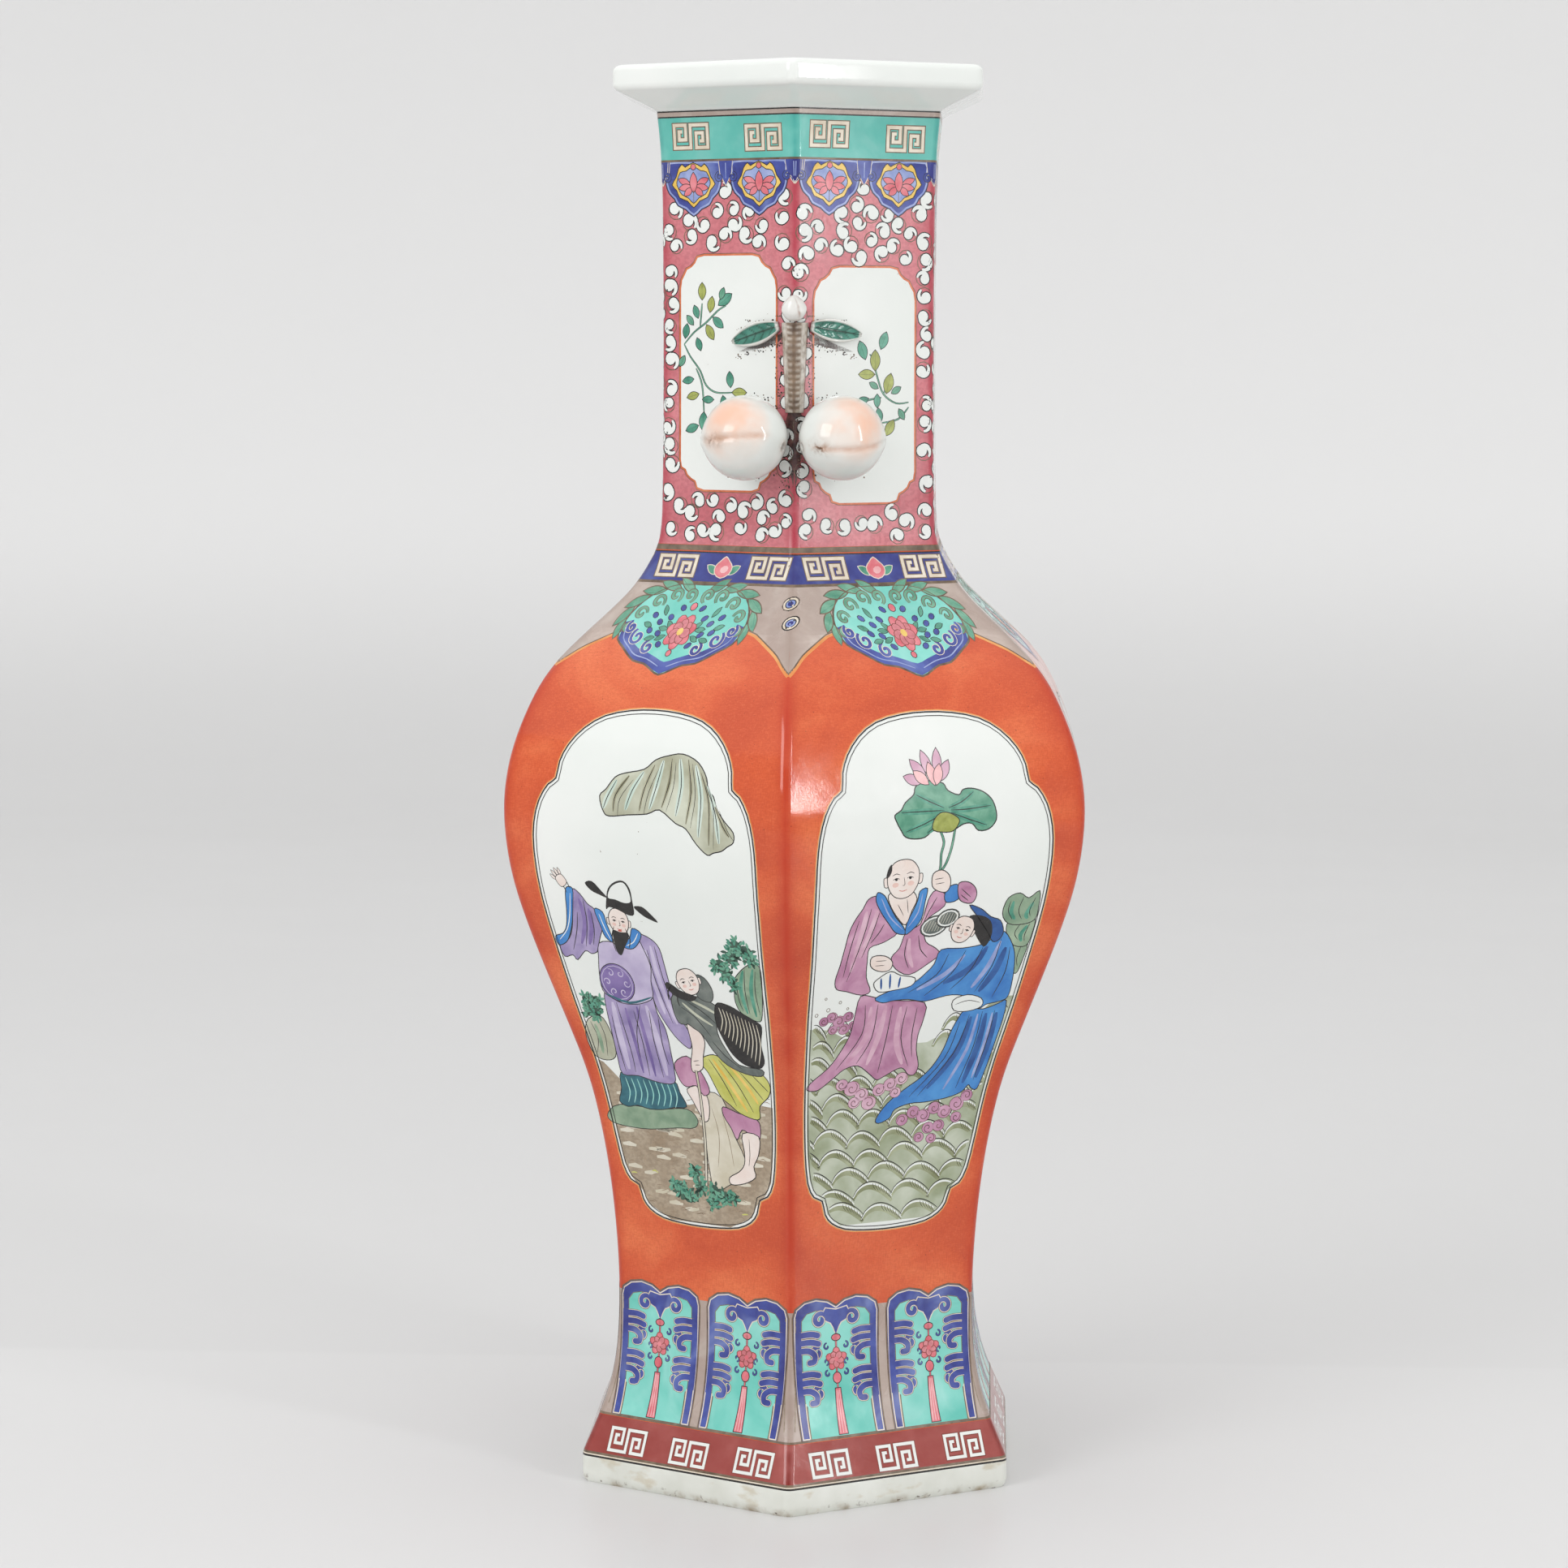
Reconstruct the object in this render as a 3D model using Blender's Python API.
"""Hexagonal baluster vase, slab-built in porcelain, with a pair of peach-branch handles on its neck.

Frame: +Z up, origin at the centre of the foot's resting plane. One corner of the hexagon faces -Y
(the front handle) and its opposite faces +Y (the back handle). Units are metres.
"""

import math

import bmesh
import bpy
from mathutils import Matrix, Vector

# ---- driving dimensions -------------------------------------------------------------------------
HEIGHT = 0.600          # foot to the top of the mouth
WALL = 0.0065           # thickness of the pressed wall slabs
SEAM = 0.0003           # luted seam left between neighbouring pieces
SIDES = 6
MM = 0.001

COS_HALF = math.cos(math.pi / SIDES)
TAN_HALF = math.tan(math.pi / SIDES)

# Heights of the seams between the stacked parts.
FOOT_TOP = 0.0287
SHOULDER_TOP = 0.401
NECK_TOP = 0.5815

# Corner radius of the body at heights above the foot, both in millimetres: skirt, waist, belly,
# shoulder and collar. A smooth curve runs through these stations.
BODY_STATIONS = [
    (28.7, 96.8), (36.0, 93.4), (46.0, 90.3), (60.0, 87.9), (80.0, 87.2), (103.0, 88.2),
    (128.0, 90.9), (153.0, 95.4), (178.0, 102.2), (207.0, 114.4), (239.0, 128.0), (265.0, 136.8),
    (291.0, 140.1), (313.0, 137.1), (333.0, 129.0), (350.0, 118.2), (366.0, 99.8), (376.0, 87.2),
    (385.0, 77.6), (401.0, 67.4),
]
# The neck is nearly straight and opens a little towards both ends.
NECK_STATIONS = [(401.0, 67.4), (418.0, 66.2), (470.0, 65.6), (535.0, 65.8), (563.0, 66.6), (581.5, 68.6)]
BODY_STEPS = 44
NECK_STEPS = 6

# Foot strip: a white upright band under a sloping chamfer.
FOOT_CORNER = 0.1048
FOOT_BAND_TOP = 0.0125
FOOT_BEVEL = 0.0015
FOOT_INNER = 0.0762     # apothem of the strip's inner face

# Base slab, let into the foot.
BASE_LOW = 0.010
BASE_THICK = 0.007

# Mouth rim.
RIM_CORNER = 0.0888
RIM_UNDER = 0.5902      # where the flare turns up into the upright band
RIM_ROUND = 0.0022
RIM_THROAT = 0.050      # apothem of the throat

# Peach-branch handles.
PEACH_RADIUS = 0.018
PEACH_WALL = 0.0032
PEACH_TIP = 0.0012      # how far the fruit's point stands out
VENT_RADIUS = 0.0016
PEACH_X = 0.0202
PEACH_Z = 0.4465
PEACH_STEPS = 24
BRANCH_TOP = 0.4935
BRANCH_END = 0.4565
BRANCH_HALF = 0.0056
BRANCH_PROUD = 0.0052
BUD_RADIUS = 0.0054
LEAF_LENGTH = 0.0235
LEAF_HALF = 0.0043
LEAF_THICK = 0.0024
LEAF_DROOP = {"left": 16.0, "right": 9.0}       # degrees below level, as the hand laid them

# Face names by the direction of their normals, counted from +X.
FACES = {
    "front_right": -60, "right": 0, "back_right": 60,
    "back_left": 120, "left": 180, "front_left": 240,
}


# ---- materials ----------------------------------------------------------------------------------
def glaze(name, colour, roughness):
    """A glazed porcelain finish."""
    made = bpy.data.materials.new(name)
    made.use_nodes = True
    shader = made.node_tree.nodes["Principled BSDF"]
    shader.inputs["Base Color"].default_value = (*colour, 1.0)
    shader.inputs["Roughness"].default_value = roughness
    shader.inputs["Metallic"].default_value = 0.0
    return made


def make_glazes():
    return {
        "coral": glaze("coral_enamel", (0.62, 0.11, 0.045), 0.22),
        "rose": glaze("rose_enamel", (0.55, 0.17, 0.20), 0.25),
        "red": glaze("iron_red_enamel", (0.36, 0.08, 0.07), 0.22),
        "white": glaze("clear_glaze", (0.78, 0.80, 0.77), 0.12),
        "biscuit": glaze("unglazed_base", (0.70, 0.66, 0.58), 0.6),
        "brown": glaze("brown_enamel", (0.28, 0.22, 0.18), 0.35),
        "peach": glaze("peach_blush", (0.80, 0.68, 0.62), 0.15),
        "green": glaze("leaf_enamel", (0.08, 0.25, 0.18), 0.25),
    }


# ---- shape helpers ------------------------------------------------------------------------------
def smooth_profile(stations, steps):
    """(corner radius, height) pairs along a Catmull-Rom curve through the stations, in metres."""
    points = [Vector((radius * MM, height * MM)) for height, radius in stations]
    ends = [2 * points[0] - points[1], *points, 2 * points[-1] - points[-2]]
    made = []
    for step in range(steps + 1):
        at = step / steps * (len(points) - 1)
        first = min(int(at), len(points) - 2)
        t = at - first
        a, b, c, d = ends[first:first + 4]
        curve = 2 * b + (c - a) * t + (2 * a - 5 * b + 4 * c - d) * t ** 2
        made.append(0.5 * (curve + (3 * b - a - 3 * c + d) * t ** 3))
    return made


def offset_inward(profile, depth):
    """The same curve moved inward along its normal, with both ends kept at their own heights."""
    made = []
    for i, point in enumerate(profile):
        before = profile[max(i - 1, 0)]
        after = profile[min(i + 1, len(profile) - 1)]
        along = (after - before).normalized()
        moved = point + depth * Vector((-along.y, along.x))
        if i in (0, len(profile) - 1):
            moved = Vector((point.x - depth / along.y, point.y))
        made.append(moved)
    return made


def to_apothem(profile):
    return [Vector((point.x * COS_HALF, point.y)) for point in profile]


def make_object(name, mesh_builder, material, smooth=None):
    """Links one object whose mesh comes from the bmesh that mesh_builder fills."""
    mesh = bpy.data.meshes.new(name)
    shape = bmesh.new()
    mesh_builder(shape)
    bmesh.ops.recalc_face_normals(shape, faces=shape.faces)
    shape.to_mesh(mesh)
    shape.free()
    mesh.materials.append(material)
    if smooth is not None:
        mesh.shade_smooth()
        mesh.set_sharp_from_angle(angle=math.radians(smooth))
    made = bpy.data.objects.new(name, mesh)
    bpy.context.scene.collection.objects.link(made)
    return made


def face_matrix(angle):
    """Turns the face frame (x outward, y across, z up) to a side whose normal is at this angle."""
    return Matrix.Rotation(math.radians(angle), 4, "Z")


def fill_mitred_strip(shape, outline):
    """One side of the hexagon: the closed outline of (apothem, height), drawn out to both mitres."""
    ends = []
    for side in (-1, 1):
        ring = []
        for apothem, height in outline:
            half = apothem * TAN_HALF - SEAM / 2 / COS_HALF
            ring.append(shape.verts.new((apothem, side * half, height)))
        ends.append(ring)
    count = len(outline)
    for i in range(count):
        j = (i + 1) % count
        shape.faces.new((ends[0][i], ends[0][j], ends[1][j], ends[1][i]))
    shape.faces.new(ends[0])
    shape.faces.new(ends[1][::-1])


def fill_wall(shape, outer, inner):
    """A curved slab between an outer and an inner profile, mitred at both sides."""
    rings = []
    for side in (-1, 1):
        for profile in (outer, inner):
            line = []
            for apothem, height in profile:
                half = apothem * TAN_HALF - SEAM / 2 / COS_HALF
                line.append(shape.verts.new((apothem, side * half, height)))
            rings.append(line)
    outer_left, inner_left, outer_right, inner_right = rings
    loops = [outer_left, outer_right, inner_right, inner_left]
    for first, second in zip(loops, loops[1:] + loops[:1]):
        for i in range(len(outer) - 1):
            shape.faces.new((first[i], first[i + 1], second[i + 1], second[i]))
    for i in (0, -1):
        shape.faces.new([line[i] for line in loops])


def fill_prism(shape, outline, low, high):
    """An upright prism on a closed (x, y) outline."""
    floor = [shape.verts.new((x, y, low)) for x, y in outline]
    bottom = shape.faces.new(floor)
    drawn = bmesh.ops.extrude_face_region(shape, geom=[bottom])
    top = [v for v in drawn["geom"] if isinstance(v, bmesh.types.BMVert)]
    bmesh.ops.translate(shape, verts=top, vec=(0, 0, high - low))


# ---- body, neck, foot and mouth -----------------------------------------------------------------
def make_walls(prefix, stations, steps, low, high, material):
    outer = to_apothem(smooth_profile(stations, steps))
    outer[0].y = low + SEAM / 2
    outer[-1].y = high - SEAM / 2
    inner = offset_inward(outer, WALL)
    for side, angle in FACES.items():
        wall = make_object(
            f"{prefix}_{side}", lambda shape: fill_wall(shape, outer, inner), material, smooth=25
        )
        wall.matrix_world = face_matrix(angle)


def make_strips(prefix, outline, material):
    """Six mitred strips with one cross-section, one to each side of the hexagon."""
    for side, angle in FACES.items():
        strip = make_object(
            f"{prefix}_{side}", lambda shape: fill_mitred_strip(shape, outline), material, smooth=25
        )
        strip.matrix_world = face_matrix(angle)


def make_foot(material):
    band = FOOT_CORNER * COS_HALF
    top = BODY_STATIONS[0][1] * MM * COS_HALF
    outline = [
        (FOOT_INNER, 0.0), (band - FOOT_BEVEL, 0.0), (band, FOOT_BEVEL), (band, FOOT_BAND_TOP),
        (top, FOOT_TOP - SEAM / 2), (FOOT_INNER, FOOT_TOP - SEAM / 2),
    ]
    make_strips("foot_strip", outline, material)


def make_base(material):
    corner = (FOOT_INNER - SEAM) / COS_HALF
    turns = [math.radians(30 + 60 * side) for side in range(SIDES)]
    outline = [(corner * math.cos(turn), corner * math.sin(turn)) for turn in turns]
    make_object(
        "base_slab",
        lambda shape: fill_prism(shape, outline, BASE_LOW, BASE_LOW + BASE_THICK),
        material,
    )


def make_mouth(material):
    """Flares out from the neck, turns up into an upright band and dips back into the throat."""
    low = NECK_TOP + SEAM / 2
    neck = NECK_STATIONS[-1][1] * MM * COS_HALF
    band = RIM_CORNER * COS_HALF
    arc = [math.radians(15 * step) for step in range(7)]
    lip = [
        (band - RIM_ROUND * (1 - math.cos(turn)), HEIGHT - RIM_ROUND * (1 - math.sin(turn)))
        for turn in arc
    ]
    outline = [
        (neck - WALL, low), (neck, low), (neck + 0.002, low + 0.0016),
        (band - 0.0012, RIM_UNDER - 0.0012), (band, RIM_UNDER + 0.0006), *lip,
        (band - 0.009, HEIGHT - 0.0008), (RIM_THROAT + 0.007, HEIGHT - 0.0058),
        (RIM_THROAT + 0.0024, HEIGHT - 0.011),
    ]
    make_strips("mouth_rim", outline, material)


# ---- handles ------------------------------------------------------------------------------------
def fill_peach(shape):
    """A hollow fruit turned about +X: pointed at +X, with a vent hole at -X."""
    def arc(radius, point, start, end, steps):
        turned = []
        for step in range(steps + 1):
            turn = start + (end - start) * step / steps
            reach = radius + point * max(0.0, math.cos(turn)) ** 8
            turned.append(Vector((reach * math.cos(turn), 0.0, reach * math.sin(turn))))
        return turned

    inner_radius = PEACH_RADIUS - PEACH_WALL
    outer_end = math.pi - math.asin(VENT_RADIUS / PEACH_RADIUS)
    inner_end = math.pi - math.asin(VENT_RADIUS / inner_radius)
    outer = arc(PEACH_RADIUS, PEACH_TIP, 0.0, outer_end, 12)
    inner = arc(inner_radius, 0.0, inner_end, 0.0, 7)
    verts = [shape.verts.new(point) for point in outer + inner]
    edges = [shape.edges.new(pair) for pair in zip(verts, verts[1:])]
    bmesh.ops.spin(
        shape, geom=verts + edges, axis=(1, 0, 0), cent=(0, 0, 0), dvec=(0, 0, 0),
        angle=2 * math.pi, steps=PEACH_STEPS, use_merge=True,
    )
    bmesh.ops.remove_doubles(shape, verts=shape.verts, dist=1e-6)


def neck_corner():
    """Corner radius of the neck at the handle's height."""
    return NECK_STATIONS[2][1] * MM + 0.0001


def fill_branch(shape):
    """A ribbed strap that hugs the neck's corner, widest at its top, narrowing between the fruit."""
    rings = []
    steps = 14
    for step in range(steps + 1):
        t = step / steps
        z = BRANCH_TOP + (BRANCH_END - BRANCH_TOP) * t
        half = BRANCH_HALF * (1.0 - 0.28 * t)
        proud = BRANCH_PROUD * (0.75 + 0.55 * math.sin(math.pi * t))
        back = -neck_corner() - SEAM / COS_HALF
        section = []
        for x, lift in ((-1.0, 0.0), (-0.95, 0.45), (-0.55, 0.9), (0.0, 1.0), (0.55, 0.9), (0.95, 0.45), (1.0, 0.0)):
            fall = abs(x) * half * TAN_HALF
            section.append((x * half, back + fall - lift * proud - 0.0004, z))
        section.append((0.0, back, z))
        rings.append([shape.verts.new(point) for point in section])
    count = len(rings[0])
    for first, second in zip(rings, rings[1:]):
        for i in range(count):
            j = (i + 1) % count
            shape.faces.new((first[i], first[j], second[j], second[i]))
    shape.faces.new(rings[0])
    shape.faces.new(rings[-1][::-1])


def fill_bud(shape):
    """A rounded cone leaning up and forward from the top of the branch."""
    bmesh.ops.create_uvsphere(shape, u_segments=16, v_segments=10, radius=BUD_RADIUS)
    for vert in shape.verts:
        rise = max(0.0, vert.co.z / BUD_RADIUS)
        vert.co.x *= 1.0 - 0.35 * rise
        vert.co.y *= 1.0 - 0.35 * rise
        vert.co.z *= 1.0 + 0.25 * rise
    lean = Matrix.Rotation(math.radians(38), 4, "X")
    bmesh.ops.transform(shape, matrix=lean, verts=shape.verts)


def leaf_half_width(t):
    """Half-width of a leaf along its length, from its root at 0 to its point at 1."""
    return LEAF_HALF * math.sin(math.pi * min(1.0, 0.10 + 0.90 * t)) ** 0.75 + 0.0004


def fill_leaf(shape):
    """A leaf lying on +X: root at the origin, point at its length, and its back on z = 0."""
    steps = 12
    upper = [(LEAF_LENGTH * i / steps, leaf_half_width(i / steps)) for i in range(steps + 1)]
    lower = [(x, -y) for x, y in reversed(upper)]
    fill_prism(shape, upper + lower, 0.0, LEAF_THICK)


def make_handle(prefix, turn, glazes):
    """One handle: two hollow fruit, the branch between them, a bud and two leaves."""
    root = bpy.data.objects.new(f"{prefix}_handle", None)
    bpy.context.scene.collection.objects.link(root)
    root.rotation_euler = (0, 0, turn)
    pieces = []

    stand_off = PEACH_RADIUS + SEAM
    for side, sign in (("left", -1), ("right", 1)):
        normal = Vector((sign * 0.5, -COS_HALF, 0))
        face_y = -(neck_corner() - (PEACH_X - stand_off * 0.5) * TAN_HALF)
        centre = Vector((sign * (PEACH_X - stand_off * 0.5), face_y, PEACH_Z)) + normal * stand_off
        fruit = make_object(f"{prefix}_peach_{side}", fill_peach, glazes["peach"], smooth=60)
        axis = Vector((sign * 0.92, 0.33, 0.20)).normalized()
        fruit.matrix_world = Matrix.Translation(centre) @ axis.to_track_quat("X", "Z").to_matrix().to_4x4()
        pieces.append(fruit)

        leaf = make_object(f"{prefix}_leaf_{side}", fill_leaf, glazes["green"], smooth=30)
        across = Vector((sign * COS_HALF, 0.5, 0))
        droop = Matrix.Rotation(math.radians(-sign * LEAF_DROOP[side]), 3, normal)
        along = droop @ across
        out = normal
        up = out.cross(along)
        place = Matrix((along, up, out)).transposed().to_4x4()
        corner_gap = BRANCH_HALF / COS_HALF + 0.0008
        start = Vector((0, -neck_corner(), BRANCH_TOP - 0.0015)) + across * corner_gap
        leaf.matrix_world = Matrix.Translation(start + out * (SEAM + 0.0001)) @ place
        pieces.append(leaf)

    branch = make_object(f"{prefix}_branch", fill_branch, glazes["brown"], smooth=50)
    bud = make_object(f"{prefix}_bud", fill_bud, glazes["white"], smooth=60)
    bud.location = (0, -neck_corner() - BUD_RADIUS - 0.0006, BRANCH_TOP + BUD_RADIUS * 1.07)
    for piece in pieces + [branch, bud]:
        piece.parent = root
    return root


def main():
    for old in list(bpy.data.objects):
        bpy.data.objects.remove(old)
    glazes = make_glazes()
    make_foot(glazes["red"])
    make_base(glazes["biscuit"])
    make_walls("body_wall", BODY_STATIONS, BODY_STEPS, FOOT_TOP, SHOULDER_TOP, glazes["coral"])
    make_walls("neck_wall", NECK_STATIONS, NECK_STEPS, SHOULDER_TOP, NECK_TOP, glazes["rose"])
    make_mouth(glazes["white"])
    make_handle("front", 0.0, glazes)
    make_handle("back", math.pi, glazes)


main()
